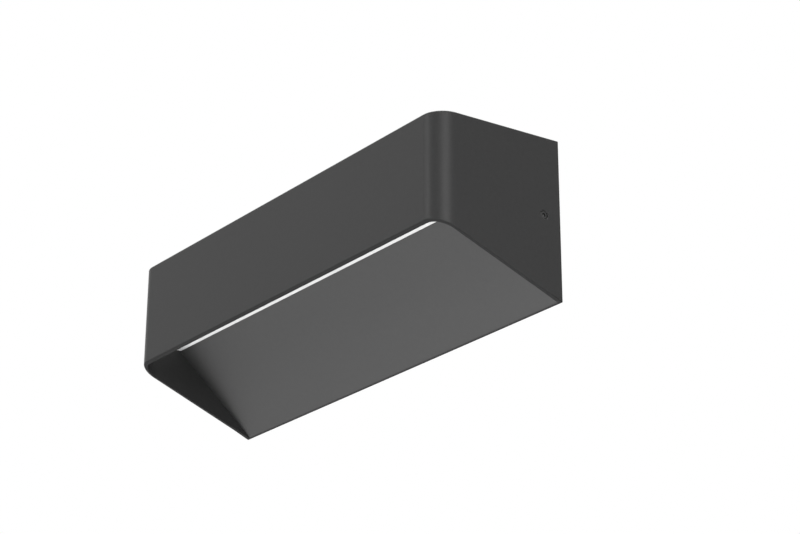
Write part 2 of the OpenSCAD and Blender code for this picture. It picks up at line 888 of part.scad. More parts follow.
// A supply lead: up out of its pole, over to the driver and on to its board
module supply_lead(pole, wire_z, bow) {
    start = [pole_x(pole), -insert_y, block_top + lead_straight];
    end = [driver_right + foot_w, -driver_wire_y, wire_z];
    lead([[start[0], start[1], block_mid_z + fit_gap],
          [start[0], start[1], block_top],
          start,
          for (share = supply_route_shares)
              start + share[0] * (end - start)
              + [0, -share[1] * bow, share[2] * supply_rise],
          end,
          [driver_right - case_t, end[1], wire_z],
          [driver_right - lead_turn, (end[1] - circuit_front) / 2, wire_z],
          [driver_right - lead_turn, -circuit_front - fit_gap, wire_z]],
         lead_r);
}

module live_lead() {
    color("saddlebrown") supply_lead(0, driver_wire_zs[1], live_bow);
}

module neutral_lead() {
    color("steelblue") supply_lead(1, driver_wire_zs[0], neutral_bow);
}

// The earth lead rises from its pole and hooks up into the tag from below
module earth_lead() {
    start = [pole_x(2), -insert_y, block_top + lead_straight];
    end = [earth_x, -barrel_y, barrel_z - barrel_l - lead_straight];
    lead([[start[0], start[1], block_mid_z + fit_gap],
          [start[0], start[1], block_top],
          start,
          for (share = earth_route_shares)
              [start[0] + share[0] * (end[0] - start[0]),
               start[1] + share[0] * (end[1] - start[1]),
               start[2] + share[1] * (end[2] - start[2])],
          end,
          [end[0], end[1], barrel_z - barrel_l],
          [end[0], end[1], barrel_z - fit_gap]],
         earth_lead_r);
}

// A light lead: from the driver's board out to the left, then forward
module light_lead(side, wire_z) {
    x = connector_x + side * connector_pin_step / 2;
    start = [driver_left - foot_w, -driver_wire_y, wire_z];
    end = [x, -slope_run, connector_z];
    lead([[driver_left + lead_turn, -circuit_front - fit_gap, wire_z],
          [driver_left + lead_turn, (start[1] - circuit_front) / 2, wire_z],
          [driver_left + case_t, start[1], wire_z],
          start,
          for (share = light_route_shares)
              [for (axis = [0 : 2]) start[axis] + share[axis] * (end[axis] - start[axis])],
          end,
          [x, -board_y + connector_d / 2, connector_z],
          [x, -board_y + fit_gap, connector_z]],
         lead_r);
}

module led_plus_lead() {
    color("firebrick") light_lead(1, driver_wire_zs[1]);
}

module led_minus_lead() {
    color("black") light_lead(-1, driver_wire_zs[0]);
}

wall_bracket();
bracket_earth_screw();
bracket_earth_washer();
housing();
side_screw_left();
side_screw_right();
diffuser();
diffuser_seal();
light_carrier();
carrier_screws();
led_board();
led_chips();
led_board_screws();
led_connector();
rear_cover();
cover_gasket();
cover_screws();
cable_grommet();
driver_case();
driver_lid();
driver_board();
driver_transformer();
driver_capacitors();
driver_screws();
terminal_block();
terminal_inserts();
terminal_screws();
block_screws();
earth_screw();
earth_washer();
earth_tag();
live_lead();
neutral_lead();
earth_lead();
led_plus_lead();
led_minus_lead();
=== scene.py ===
# %% [markdown]
# # An outdoor wall light in anthracite powder coat
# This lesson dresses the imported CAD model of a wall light. The light is a cast shade
# that shines down through a slot, on a steel bracket, with its gear closed in behind.
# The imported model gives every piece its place. The looks are added here: rounded edges,
# threads and drives, finishes, plain studio light and the camera.

import json
import math

import bmesh
import bpy
import numpy as np
from mathutils import Matrix, Vector

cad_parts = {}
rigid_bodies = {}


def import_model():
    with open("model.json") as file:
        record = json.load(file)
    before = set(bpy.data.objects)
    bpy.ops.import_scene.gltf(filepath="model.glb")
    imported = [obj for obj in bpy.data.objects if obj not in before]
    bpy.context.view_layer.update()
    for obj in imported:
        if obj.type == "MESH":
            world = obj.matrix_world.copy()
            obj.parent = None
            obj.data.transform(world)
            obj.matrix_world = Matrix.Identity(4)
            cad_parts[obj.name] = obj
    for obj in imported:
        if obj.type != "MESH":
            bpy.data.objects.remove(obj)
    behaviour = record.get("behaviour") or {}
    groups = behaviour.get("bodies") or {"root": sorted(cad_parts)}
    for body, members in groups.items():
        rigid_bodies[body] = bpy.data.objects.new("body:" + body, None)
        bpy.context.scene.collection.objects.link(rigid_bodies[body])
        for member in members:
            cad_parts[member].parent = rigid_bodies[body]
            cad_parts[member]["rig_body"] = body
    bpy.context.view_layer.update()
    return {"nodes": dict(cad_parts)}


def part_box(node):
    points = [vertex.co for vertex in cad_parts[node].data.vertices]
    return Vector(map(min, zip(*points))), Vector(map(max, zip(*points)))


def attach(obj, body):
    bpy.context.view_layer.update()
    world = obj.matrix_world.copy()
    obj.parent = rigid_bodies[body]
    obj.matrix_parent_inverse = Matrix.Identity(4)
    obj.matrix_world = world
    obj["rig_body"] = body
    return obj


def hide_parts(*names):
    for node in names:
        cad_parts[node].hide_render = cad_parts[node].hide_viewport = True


MM = 0.001
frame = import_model()

# %% [markdown]
# ## Outer sizes
# The shade's outer sizes are typed once, in millimetres, and many of its other sizes
# follow them. The printed line shows them. The rim climbs from the wall to the front,
# and its rise is that climb as a share of the depth.

# %% Outer sizes
HALF_WIDTH, DEPTH = 135.0, 70.0
LOW, HIGH = -40.0, 40.0
RIM_RISE = 27.8 / DEPTH

print("typed:", [-HALF_WIDTH, -DEPTH, LOW], [HALF_WIDTH, 0.0, HIGH])

# %% [markdown]
# ## Shader maths
# A finish is a pattern that varies over a surface. Writing it as sums and products of
# fields keeps it readable, so one small class wraps a socket and adds the nodes.

# %% A field and its signs
class Field:
    """A value that varies over a surface: one output socket of a node tree."""

    def __init__(self, tree, socket=None):
        self.tree = tree
        self.socket = socket

    def node(self, kind, settings, sockets, output=0):
        """Adds a node: its settings first, then its sockets' values or links."""
        made = self.tree.nodes.new("ShaderNode" + kind)
        for name, value in settings.items():
            setattr(made, name, value)
        for name, value in sockets.items():
            if isinstance(value, Field):
                self.tree.links.new(value.socket, made.inputs[name])
            else:
                made.inputs[name].default_value = value
        return Field(self.tree, made.outputs[output] if made.outputs else None)

    def maths(self, operation, *values):
        """One Math node on one or more values."""
        return self.node("Math", {"operation": operation}, dict(enumerate(values)))

    def __add__(self, other):
        return self.maths("ADD", self, other)

    def __sub__(self, other):
        return self.maths("SUBTRACT", self, other)

    def __rsub__(self, other):
        return self.maths("SUBTRACT", other, self)

    def __mul__(self, other):
        return self.maths("MULTIPLY", self, other)

    __radd__ = __add__
    __rmul__ = __mul__


print("signs that make nodes:", "+ - *")

# %% [markdown]
# Every pattern below starts from the point on the piece, in metres, so grain keeps
# its real size on every piece, whatever its shape.

# %% Patterns that the finishes share
def cloud(point, size, detail=2.0):
    """Soft noise round one half, whose patches are about size metres across."""
    return point.node("TexNoise", {}, {"Vector": point, "Scale": 1 / size, "Detail": detail})


def part_of(point, axis):
    """One coordinate of the point, by the axis' letter."""
    return point.node("SeparateXYZ", {}, {"Vector": point}, "XYZ".index(axis))


def ramp(value, low, high):
    """0 below low, 1 above high, and a smooth climb between."""
    return value.node("MapRange", {"interpolation_type": "SMOOTHSTEP"},
                      {"Value": value, "From Min": low, "From Max": high})


def between(share, first, second):
    """A colour on the way from the first to the second, by a share."""
    return share.node("Mix", {"data_type": "RGBA"},
                      {0: share, 6: (*first, 1.0), 7: (*second, 1.0)}, 2)


def relief(height, depth):
    """A normal for bumps whose height field is scaled to depth metres."""
    return height.node("Bump", {}, {"Distance": depth, "Height": height}, "Normal")


def finish(name, constants, pattern):
    """A material: constants sit on the shader, and pattern(point) gives what varies."""
    material = bpy.data.materials.new(name)
    material.use_nodes = True
    tree = material.node_tree
    shader = tree.nodes["Principled BSDF"]
    for socket, value in constants.items():
        shader.inputs[socket].default_value = value
    point = Field(tree).node("TexCoord", {}, {}, "Object")
    for socket, field in pattern(point).items():
        tree.links.new(field.socket, shader.inputs[socket])
    return material


print("shared patterns: cloud, ramp, between, relief")

# %% [markdown]
# ## The powder coat
# The shade is sprayed with polyester powder and baked. Seen close it has a fine grain
# and a shallow orange peel, and no gloss to speak of. Noises of four sizes make its
# relief and mottle its tone, and the shader's roughness keeps reflections wide. A mask on
# the height above the rim's plane paints shade on the rim by darkening its colour, and
# it also makes the rim rougher and duller than the faces.

# %% Powder coat
COAT_DARK = (0.0285, 0.0285, 0.0285)
COAT_LIGHT = (0.0435, 0.0435, 0.0435)
COAT_ROUGH, ROUGH_SPREAD = 0.36, 0.12
GRAIN, SPECK, PEEL, PATCH = 0.4, 0.9, 2.4, 70
COAT_RELIEF = 0.012
# The rim's colour is multiplied down to this share, which is painted shade. The second value makes
# the rim rougher.
RIM_PAINTED_SHADE, RIM_DULL = 0.3, 0.4
RIM_FADE = 0.05, 0.6


def powder_coat(point):
    """Tone and relief are sums of noises, and painted shade darkens the rim. Height above the rim
    is z plus its rim rise times y.
    """
    grain, speck, peel, patch = (cloud(point, size * MM) for size in (GRAIN, SPECK, PEEL, PATCH))
    above_rim = part_of(point, "Z") + part_of(point, "Y") * RIM_RISE
    face = ramp(above_rim, *((LOW + height) * MM for height in RIM_FADE))
    tone = between(0.1 + speck * 0.35 + peel * 0.35 + patch * 0.1, COAT_DARK, COAT_LIGHT)
    # Painted shade: the rim's colour is multiplied down, fading in from the faces.
    rim_painted_shade = between(face, (RIM_PAINTED_SHADE,) * 3, (1, 1, 1))
    return {
        "Base Color": tone.node("Mix", {"data_type": "RGBA", "blend_type": "MULTIPLY"},
                                {0: 1.0, 6: tone, 7: rim_painted_shade}, 2),
        "Roughness": COAT_ROUGH + ROUGH_SPREAD * speck + (1 - face) * RIM_DULL,
        "Normal": relief(peel * 0.4 + grain * 0.6, COAT_RELIEF * MM),
    }


coat = finish("anthracite_powder_coat_grain", {"Specular IOR Level": 0.15}, powder_coat)
print(coat.name, "between", COAT_DARK, "and", COAT_LIGHT)

# %% [markdown]
# ## Solids from arrays
# The pieces that are made here are closed surfaces. Each one is a grid of points worked
# out with numpy, or an outline carried along a line with a face at each end.

# %% Grids and prisms
ROUND_SIDES = 48


def grid_faces(rows, columns, round_rows=False, round_columns=False):
    """Four-sided faces between the rows and columns of a grid, closed where it is round."""
    row = np.arange(rows if round_rows else rows - 1)
    column = np.arange(columns if round_columns else columns - 1)
    i, j = np.meshgrid(row, column, indexing="ij")
    up, right = (i + 1) % rows, (j + 1) % columns
    faces = np.stack([i * columns + j, i * columns + right,
                      up * columns + right, up * columns + j], -1)
    return faces.reshape(-1, 4).tolist()


def carried(outlines):
    """A solid from a row of outlines: walls between neighbours, and a face at each end."""
    outlines = np.asarray(outlines, float)
    rows, columns = outlines.shape[:2]
    ends = [list(range(columns)), list(range((rows - 1) * columns, rows * columns))]
    return outlines.reshape(-1, 3), grid_faces(rows, columns, round_columns=True) + ends


def prism(outline, reach):
    """A solid from one outline and the way it is carried."""
    outline = np.asarray(outline, float)
    return carried([outline, outline + np.asarray(reach, float)])


def block(low, high):
    """A solid with six flat sides between its lowest and highest corners."""
    (x, y, z), (far_x, far_y, far_z) = low, high
    return prism([(x, y, z), (far_x, y, z), (far_x, far_y, z), (x, far_y, z)],
                 (0, 0, far_z - z))


def rod(centre, reach, radius):
    """A round solid: a circle across the way it is carried."""
    reach = np.asarray(reach, float)
    side = np.roll(reach, 1) / np.linalg.norm(reach)
    other = np.cross(reach / np.linalg.norm(reach), side)
    turn = np.linspace(0, 2 * np.pi, ROUND_SIDES, endpoint=False)[:, None]
    return prism(np.asarray(centre) + radius * (np.cos(turn) * side + np.sin(turn) * other),
                 reach)


def gathered(name, solids):
    """One mesh from several solids in millimetres, each turned to face outwards."""
    starts = np.cumsum([0] + [len(points) for points, _ in solids])
    points = np.concatenate([points for points, _ in solids]) * MM
    faces = [[start + corner for corner in face]
             for start, (_, own) in zip(starts.tolist(), solids) for face in own]
    mesh = bpy.data.meshes.new(name)
    mesh.from_pydata(points, [], faces)
    work = bmesh.new()
    work.from_mesh(mesh)
    bmesh.ops.recalc_face_normals(work, faces=work.faces)
    work.to_mesh(mesh)
    work.free()
    return mesh


def round_corner(before, corner, after, radius, steps=5):
    """The arc that rounds a corner: it touches both sides, and turns evenly between."""
    before, corner, after = (np.asarray(p, float) for p in (before, corner, after))
    one, two = (d / np.linalg.norm(d) for d in (before - corner, after - corner))
    half = np.arccos(one @ two) / 2
    centre = corner + (one + two) / np.linalg.norm(one + two) * radius / np.sin(half)
    start, end = (corner + d * radius / np.tan(half) - centre for d in (one, two))
    total = np.pi - 2 * half
    t = np.linspace(0, 1, steps + 1)[:, None]
    return centre + (np.sin((1 - t) * total) * start + np.sin(t * total) * end) / np.sin(total)


print("solids: carried, prism, block, rod")

# %% [markdown]
# A finished piece is shown in place of its CAD nodes, rides where they ride, and takes
# the finish it is given. Flat faces stay flat between rounded edges because their
# normals count by area.

# %% Put a finished piece in place
SHARP = math.radians(28)


def add_piece(name, mesh, nodes, material):
    """Shows a mesh as a piece that stands for CAD nodes."""
    mesh.materials.clear()
    mesh.materials.append(material)
    mesh.polygons.foreach_set("use_smooth", np.ones(len(mesh.polygons), bool))
    mesh.set_sharp_from_angle(angle=SHARP)
    piece = bpy.data.objects.new(name, mesh)
    bpy.context.scene.collection.objects.link(piece)
    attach(piece, frame["nodes"][nodes[0]]["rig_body"])
    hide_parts(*nodes)
    return piece


def keep_flat(piece):
    """Flat faces keep their own direction, and only the edges between them turn."""
    piece.modifiers.new("flat_faces_stay_flat", "WEIGHTED_NORMAL").keep_sharp = True


print("edges stay sharp past", round(math.degrees(SHARP)), "degrees")

# %% [markdown]
# ## The shade
# The shade is one casting: a top, two sides and a front with round upright corners, cut
# off below by a rim that slopes to the wall. Its wall is a profile carried round the
# plan. The outside leans in towards the top, by the draft that lets a casting leave its
# mould. The profile's edges are rounded, the rim's outer edge more than its inner one.
# Near the wall the rim's roundings fade out, as the rim runs into the sloping face.

# %% The plan of the outer wall
CORNER, CORNER_POINTS = 11.0, 21
PLAN_DEPTHS = [0, 0.4, 0.8, 1.3, 2, 3, 4.5, 6.5, 9, 20, 32, 45]
PLAN_X = 60.0


def wall_plan():
    """Points of the outer wall seen from above, and the way out at each of them."""
    side = np.stack([np.full(len(PLAN_DEPTHS), -HALF_WIDTH), -np.array(PLAN_DEPTHS)], -1)
    side_out = np.tile([-1.0, 0.0], (len(PLAN_DEPTHS), 1))
    turn = np.linspace(np.pi, 1.5 * np.pi, CORNER_POINTS)
    arc_out = np.stack([np.cos(turn), np.sin(turn)], -1)
    arc = arc_out * CORNER + [-(HALF_WIDTH - CORNER), -(DEPTH - CORNER)]
    points = np.concatenate([side, arc, [[-PLAN_X, -DEPTH], [0, -DEPTH]]])
    out = np.concatenate([side_out, arc_out, [[0, -1], [0, -1]]])
    mirror = np.array([-1, 1])
    return (np.concatenate([points, points[-2::-1] * mirror]),
            np.concatenate([out, out[-2::-1] * mirror]))


print("plan:", len(wall_plan()[0]), "points")

# %% The wall's profile, carried round the plan
WALL = 2.5
TOP_ROUND, RIM_OUTER, RIM_INNER, ROUND_POINTS = 0.9, 0.8, 0.3, 5
FADE, FADED_SHARE = 9.0, 0.15
LEAN_SIDE, LEAN_FRONT = 1.3, 0.7


def shade_wall():
    """Rows of points: over the top edge, down the wall, round the rim, up inside.

    A point lies its inset inside the plan, and the plan of the outer rows shrinks evenly
    with height. Rim rows stand on the sloping rim plane."""
    plan, out = wall_plan()
    kept = np.clip(-plan[:, 1] / FADE, FADED_SHARE, 1)
    outer, inner = RIM_OUTER * kept, RIM_INNER * kept
    turn = np.linspace(0, np.pi / 2, ROUND_POINTS)[:, None]
    even = np.ones(len(plan))
    rise, fall = 1 - np.cos(turn), 1 - np.sin(turn)
    inset = np.concatenate([TOP_ROUND * fall * even, outer * rise,
                            WALL - inner * fall, [WALL * even]])
    height = np.concatenate([HIGH - TOP_ROUND * rise * even, outer * fall,
                             inner * rise, [(HIGH - WALL) * even]])
    on_rim = np.repeat([0, 1, 0], [len(turn), 2 * len(turn), 1])[:, None]
    leans = np.repeat([1, 0], [2 * len(turn), len(turn) + 1])[:, None]
    climb = height + on_rim * (LOW - RIM_RISE * plan[:, 1]) - LOW
    shrink = (leans * climb / (HIGH - LOW))[..., None] * [LEAN_SIDE / HALF_WIDTH,
                                                          LEAN_FRONT / DEPTH]
    flat = plan * (1 - shrink) - out * inset[..., None]
    z = height + on_rim * (LOW - RIM_RISE * flat[..., 1])
    rows, columns = inset.shape
    last = rows * columns - 1
    back = (list(range(0, rows * columns, columns))
            + list(range(last, 0, -columns)))
    faces = grid_faces(rows, columns) + [
        list(range(columns)), list(range(last - columns + 1, last + 1)), back]
    return np.concatenate([flat, z[..., None]], -1).reshape(-1, 3), faces


wall_points, wall_faces = shade_wall()
print("shade wall:", len(wall_points), "points,", len(wall_faces), "faces")

# %% [markdown]
# The sloping face is a plate with a blunt tip, carried from side to side. Its tip
# reaches a little past the run that sets its slope. A ledge on the front wall carries the
# front edge of the diffuser.

# %% Sloping face and ledge
SLOPE_RUN, TIP_RUN, SEAT, TIP_ROUND = 44.6, 45.0, 0.5, 0.1
SLOPE = math.atan2(SEAT - LOW, SLOPE_RUN)
ROOT = 1.0
INNER_X, INNER_DEPTH = HALF_WIDTH - WALL, DEPTH - WALL
LEDGE, LEDGE_HEIGHT = 2.5, 2.0


def across(outline, half):
    """An outline of depths and heights, carried along X from -half to half."""
    depth, z = np.asarray(outline, float).T
    return prism(np.stack([np.full_like(depth, -half), -depth, z], -1), (2 * half, 0, 0))


def slope_plate():
    """The outline goes from the rim up to the rounded tip, back, and down to the wall."""
    tip, behind = (TIP_RUN, SEAT), (TIP_RUN - WALL / math.sin(SLOPE), SEAT)
    outline = [(0, LOW), *round_corner((0, LOW), tip, behind, TIP_ROUND), behind,
               (0, LOW + WALL / math.cos(SLOPE))]
    return across(outline, INNER_X + ROOT)


def diffuser_ledge():
    """The ledge's outline from above follows the round corners inside the wall."""
    radius = CORNER - WALL + ROOT / 2
    centre_x, centre_depth = HALF_WIDTH - CORNER, DEPTH - CORNER
    first = math.asin((INNER_DEPTH - LEDGE - centre_depth) / radius)
    turn = np.linspace(first, np.pi / 2, 9)
    right = np.stack([centre_x + radius * np.cos(turn),
                      -(centre_depth + radius * np.sin(turn)), 0 * turn], -1)
    outline = np.concatenate([right, (right * [-1, 1, 1])[::-1]])
    outline[:, 2] = SEAT - LEDGE_HEIGHT
    return prism(outline, (0, 0, LEDGE_HEIGHT))


print("slope:", round(math.degrees(SLOPE), 1), "degrees")

# %% [markdown]
# Behind the diffuser the casting has a frame for the rear cover, four bosses for the
# light box, one for the earth point, and a pad round each side screw's thread.

# %% Frame, bosses and pads
TOP_IN = HIGH - WALL
FRAME_BACK, FRAME_FRONT, FRAME_EDGE, FRAME_RISE = 19.0, 23.0, 6.0, 5.0
BOSS_BACK, BOSS_LOW, BOSS_HALF, BOSS_DEEP = 46.1, 19.0, 5.0, 10.0
BOSS_XS = [share * INNER_X for share in (-0.78, -0.26, 0.26, 0.78)]
EARTH_X, EARTH_Z, EARTH_BACK, EARTH_HALF, EARTH_DROP = 112.5, 23.5, 26.0, 6.0, 20.0
SCREW_DEPTH, SCREW_Z, PAD_RADIUS = 9.0, 1.0, 5.0


def slope_top(depth):
    """The height of the sloping plate's upper face: it climbs evenly with depth."""
    return LOW + WALL / math.cos(SLOPE) + depth * math.tan(SLOPE)


def cover_frame():
    """A ring with four corners: its rows are the outer and inner edges, back and front."""
    window_x = INNER_X - FRAME_EDGE
    window = (slope_top(FRAME_FRONT) + FRAME_RISE, TOP_IN - FRAME_EDGE)
    rows = []
    for depth, outer in ((FRAME_BACK, 1), (FRAME_FRONT, 1), (FRAME_FRONT, 0), (FRAME_BACK, 0)):
        x = INNER_X + ROOT if outer else window_x
        low = slope_top(depth) - WALL / 2 if outer else window[0]
        high = TOP_IN + ROOT if outer else window[1]
        rows.append([(-x, -depth, low), (x, -depth, low), (x, -depth, high), (-x, -depth, high)])
    return (np.array(rows).reshape(-1, 3),
            grid_faces(4, 4, round_rows=True, round_columns=True))


def hanging_boss(x, half, back, low):
    """A block that hangs from the top, from its back face forwards."""
    return block((x - half, -back - BOSS_DEEP, low), (x + half, -back, TOP_IN + ROOT))


inner_solids = [slope_plate(), diffuser_ledge(), cover_frame(),
                hanging_boss(EARTH_X, EARTH_HALF, EARTH_BACK, TOP_IN - EARTH_DROP)]
inner_solids += [hanging_boss(x, BOSS_HALF, BOSS_BACK, BOSS_LOW) for x in BOSS_XS]
inner_solids += [rod((side * (INNER_X + ROOT), -SCREW_DEPTH, SCREW_Z),
                     (-side * (WALL + ROOT), 0, 0), PAD_RADIUS) for side in (-1, 1)]
print("solids inside the shade:", len(inner_solids))

# %% [markdown]
# Screws need their holes. Each hole is a solid rod that starts a little past the face
# it enters, so that no thin skin is left when it is taken away. The side holes widen at
# the wall's outside, where their edges are broken.

# %% Screw holes
THREAD_HOLE, EARTH_HOLE, SIDE_HOLE, HOLE_EDGE = 1.5, 2.0, 2.0, 0.35
BOSS_HOLE_DEEP, COVER_HOLE_DEEP, SIDE_HOLE_DEEP = 8.0, 5.0, 6.0
BOSS_HOLE_RISE = 5.5
PAST = 1.0


def side_hole(side):
    """A round hole through a side wall with a broken outer edge."""
    outer = side * (HALF_WIDTH - LEAN_SIDE * (SCREW_Z - LOW) / (HIGH - LOW))
    x = [outer - side * SIDE_HOLE_DEEP, outer - side * HOLE_EDGE, outer, outer + side * PAST]
    radius = [SIDE_HOLE, SIDE_HOLE, SIDE_HOLE + HOLE_EDGE, SIDE_HOLE + HOLE_EDGE + PAST]
    turn = np.linspace(0, 2 * np.pi, ROUND_SIDES, endpoint=False)
    return carried([np.stack([np.full_like(turn, at), r * np.cos(turn) - SCREW_DEPTH,
                              r * np.sin(turn) + SCREW_Z], -1) for at, r in zip(x, radius)])


cover_z = (slope_top(FRAME_FRONT) + FRAME_RISE - FRAME_EDGE / 2, TOP_IN - FRAME_EDGE / 2)
cover_x = [share * (INNER_X - FRAME_EDGE / 2) for share in (-1, -0.34, 0.34, 1)]
boss_z = BOSS_LOW + BOSS_HOLE_RISE
holes = [rod((x, -BOSS_BACK + PAST, boss_z), (0, -PAST - BOSS_HOLE_DEEP, 0), THREAD_HOLE)
         for x in BOSS_XS]
holes += [rod((x, -FRAME_BACK + PAST, z), (0, -PAST - COVER_HOLE_DEEP, 0), THREAD_HOLE)
          for x in cover_x for z in cover_z]
holes += [rod((EARTH_X, -EARTH_BACK + PAST, EARTH_Z), (0, -PAST - BOSS_HOLE_DEEP, 0),
              EARTH_HOLE)]
holes += [side_hole(-1), side_hole(1)]
print("holes:", len(holes))

# %% [markdown]
# A casting is one piece of metal, so its parts become one closed mesh: the wall, then
# the solids inside it added, then the holes taken away.

# %% One casting
def joined(name, base, *steps):
    """The mesh left after each step adds or takes away a mesh."""
    body = bpy.data.objects.new(name, base)
    bpy.context.scene.collection.objects.link(body)
    tools = []
    for operation, mesh in steps:
        tool = bpy.data.objects.new(mesh.name, mesh)
        bpy.context.scene.collection.objects.link(tool)
        tools.append(tool)
        step = body.modifiers.new(operation.lower(), "BOOLEAN")
        step.operation, step.object = operation, tool
        step.solver, step.use_self = "EXACT", True
    made = body.evaluated_get(bpy.context.evaluated_depsgraph_get())
    mesh = bpy.data.meshes.new_from_object(made)
    for spent in [body, *tools]:
        bpy.data.objects.remove(spent)
    return mesh


shade_mesh = joined("shade_wall", gathered("shade_wall", [(wall_points, wall_faces)]),
                    ("UNION", gathered("inside_shade", inner_solids)),
                    ("DIFFERENCE", gathered("screw_holes", holes)))
shade = add_piece("cast_shade", shade_mesh, ["housing"], coat)
keep_flat(shade)
print("shade:", len(shade_mesh.vertices), "points,", len(shade_mesh.polygons), "faces")

# %% [markdown]
# ## Finishes of the other pieces
# Plastics, rubber and silicone differ in tone, gloss and grain, so one function makes
# them all. Another makes the metals. Sheet aluminium is rolled one way, so its noise is
# stretched that way.

# %% Moulded and drawn finishes
PLASTIC_PATCH, METAL_PATCH = 15.0, 9.0
METAL_RELIEF = 0.004


def moulded(name, dark, light, roughness, grain, depth):
    """Two close tones in patches, and a grain of this size and depth in millimetres."""
    def pattern(point):
        fine = cloud(point, grain * MM)
        share = 0.6 * cloud(point, PLASTIC_PATCH * MM) + 0.4 * fine
        return {"Base Color": between(share, dark, light),
                "Roughness": roughness - 0.06 + 0.12 * fine,
                "Normal": relief(fine, depth * MM)}
    return finish(name, {}, pattern)


def drawn(name, dark, light, roughness, scale=(1, 1, 1), grain=0.3):
    """Metal with a grain that a small scale along one axis stretches that way."""
    def pattern(point):
        stretched = point.node("Mapping", {}, {"Vector": point, "Scale": scale})
        fine = cloud(stretched, grain * MM, 3.0)
        share = 0.5 * fine + 0.5 * cloud(point, METAL_PATCH * MM)
        return {"Base Color": between(share, dark, light),
                "Roughness": roughness - 0.1 + 0.2 * fine,
                "Normal": relief(fine, METAL_RELIEF * MM)}
    return finish(name, {"Metallic": 1.0}, pattern)


ALONG_X = (0.03, 1, 1)
zinc = drawn("zinc_plate", (0.42, 0.43, 0.44), (0.62, 0.63, 0.63), 0.42, grain=1.2)
bare = drawn("rolled_aluminium", (0.62, 0.62, 0.63), (0.78, 0.78, 0.79), 0.38, ALONG_X)
stainless = drawn("turned_stainless", (0.45, 0.45, 0.44), (0.60, 0.60, 0.59), 0.30)
brass = drawn("turned_brass", (0.62, 0.44, 0.19), (0.76, 0.57, 0.27), 0.32)
black_steel = drawn("blackened_steel", (0.05, 0.05, 0.05), (0.07, 0.07, 0.07), 0.45)
tinned = drawn("tinned_steel", (0.55, 0.55, 0.54), (0.70, 0.70, 0.69), 0.36)

black_plastic = moulded("black_plastic_grain", (0.018, 0.018, 0.019), (0.028, 0.028, 0.029),
                        0.55, 0.5, 0.02)
rubber = moulded("black_rubber_grain", (0.014, 0.014, 0.014), (0.024, 0.024, 0.024),
                 0.75, 0.35, 0.01)
white_plastic = moulded("white_plastic_grain", (0.74, 0.74, 0.72), (0.80, 0.80, 0.78),
                        0.45, 0.6, 0.01)
cream_plastic = moulded("cream_plastic_grain", (0.70, 0.64, 0.48), (0.77, 0.71, 0.55),
                        0.42, 0.6, 0.01)
silicone = moulded("white_silicone_grain", (0.70, 0.70, 0.70), (0.76, 0.76, 0.76),
                   0.50, 0.8, 0.01)
print("finishes so far:", len(bpy.data.materials))

# %% [markdown]
# Some pieces carry a pattern of their own: foam has open cells, the light chips have a
# yellow window in a white frame, boards have raised tracks, and the transformer is
# wound with tape between two dark cores.

# %% Foam, chips and boards
CELL, CELL_RELIEF = 0.7, 0.15
CHIP_PITCH, BOARD_DEPTH = 9.4, 55.3
WINDOW_X, WINDOW_Y, WINDOW_SOFT = 1.35, 1.0, 0.08
CHIP_GRAIN, CHIP_RELIEF = 0.25, 0.02
TRACK_SOFT, TRACK_GRAIN, TRACK_RELIEF = 0.06, 0.3, 0.035
WHITE_TRACKS, WHITE_HALF = (-59.5, -51.1), 1.1
GREEN_TRACKS, GREEN_HALF = (8, 12, 19, 24), 0.6


def foam(point):
    """Distance from the nearest of many scattered middles: painted shade makes it dark there in the
    open pores, and the cell walls between are pale.
    """
    cells = point.node("TexVoronoi", {}, {"Vector": point, "Scale": 1 / (CELL * MM)})
    walls = ramp(cells, 0.05, 0.5)
    # The dark tone in the pores is painted shade.
    return {"Base Color": between(walls, (0.030, 0.030, 0.032), (0.085, 0.085, 0.09)),
            "Roughness": 0.85 + 0.1 * cells,
            "Normal": relief(cells, CELL_RELIEF * MM)}


def within(offset, half, soft):
    """1 where an offset lies within half of zero, both in millimetres, and soft outside."""
    return 1 - ramp(offset.maths("ABSOLUTE", offset), (half - soft) * MM, (half + soft) * MM)


def chip(point):
    """The window is where the offsets from the nearest chip's middle are small."""
    pitch = CHIP_PITCH * MM
    turns = part_of(point, "X") * (1 / pitch)
    along = (turns.maths("FRACT", turns) - 0.5) * pitch
    aside = part_of(point, "Y") + BOARD_DEPTH * MM
    window = within(along, WINDOW_X, WINDOW_SOFT) * within(aside, WINDOW_Y, WINDOW_SOFT)
    fine = cloud(point, CHIP_GRAIN * MM)
    return {"Base Color": between(window, (0.78, 0.78, 0.76), (0.80, 0.62, 0.16)),
            "Roughness": 0.35 + 0.15 * window + 0.1 * fine,
            "Normal": relief(fine - window, CHIP_RELIEF * MM)}


def tracked(dark, light, axis, places, half, roughness):
    """Raised tracks where the coordinate along an axis is within half of a place."""
    def pattern(point):
        at = part_of(point, axis)
        tracks, *others = [within(at - place * MM, half, TRACK_SOFT) for place in places]
        for other in others:
            tracks = tracks.maths("MAXIMUM", tracks, other)
        fine = cloud(point, TRACK_GRAIN * MM)
        return {"Base Color": between(0.7 * tracks + 0.3 * fine, dark, light),
                "Roughness": roughness + 0.1 * fine,
                "Normal": relief(tracks, TRACK_RELIEF * MM)}
    return pattern


foam_finish = finish("grey_foam_cells", {}, foam)
chip_finish = finish("chip_window", {}, chip)
white_board = finish("white_board_tracks", {}, tracked(
    (0.74, 0.75, 0.74), (0.82, 0.82, 0.80), "Y", WHITE_TRACKS, WHITE_HALF, 0.35))
green_board = finish("green_board_tracks", {}, tracked(
    (0.010, 0.085, 0.030), (0.035, 0.17, 0.06), "Z", GREEN_TRACKS, GREEN_HALF, 0.3))
print("board tracks beside the chips' row at", -BOARD_DEPTH, "mm")

# %% [markdown]
# The pieces in the gear space are told apart by colour, as on real ones: yellow tape
# round the transformer, a stripe along each capacitor, and a jacket in its own colour
# on every lead, with green and yellow in turns on the earth lead.

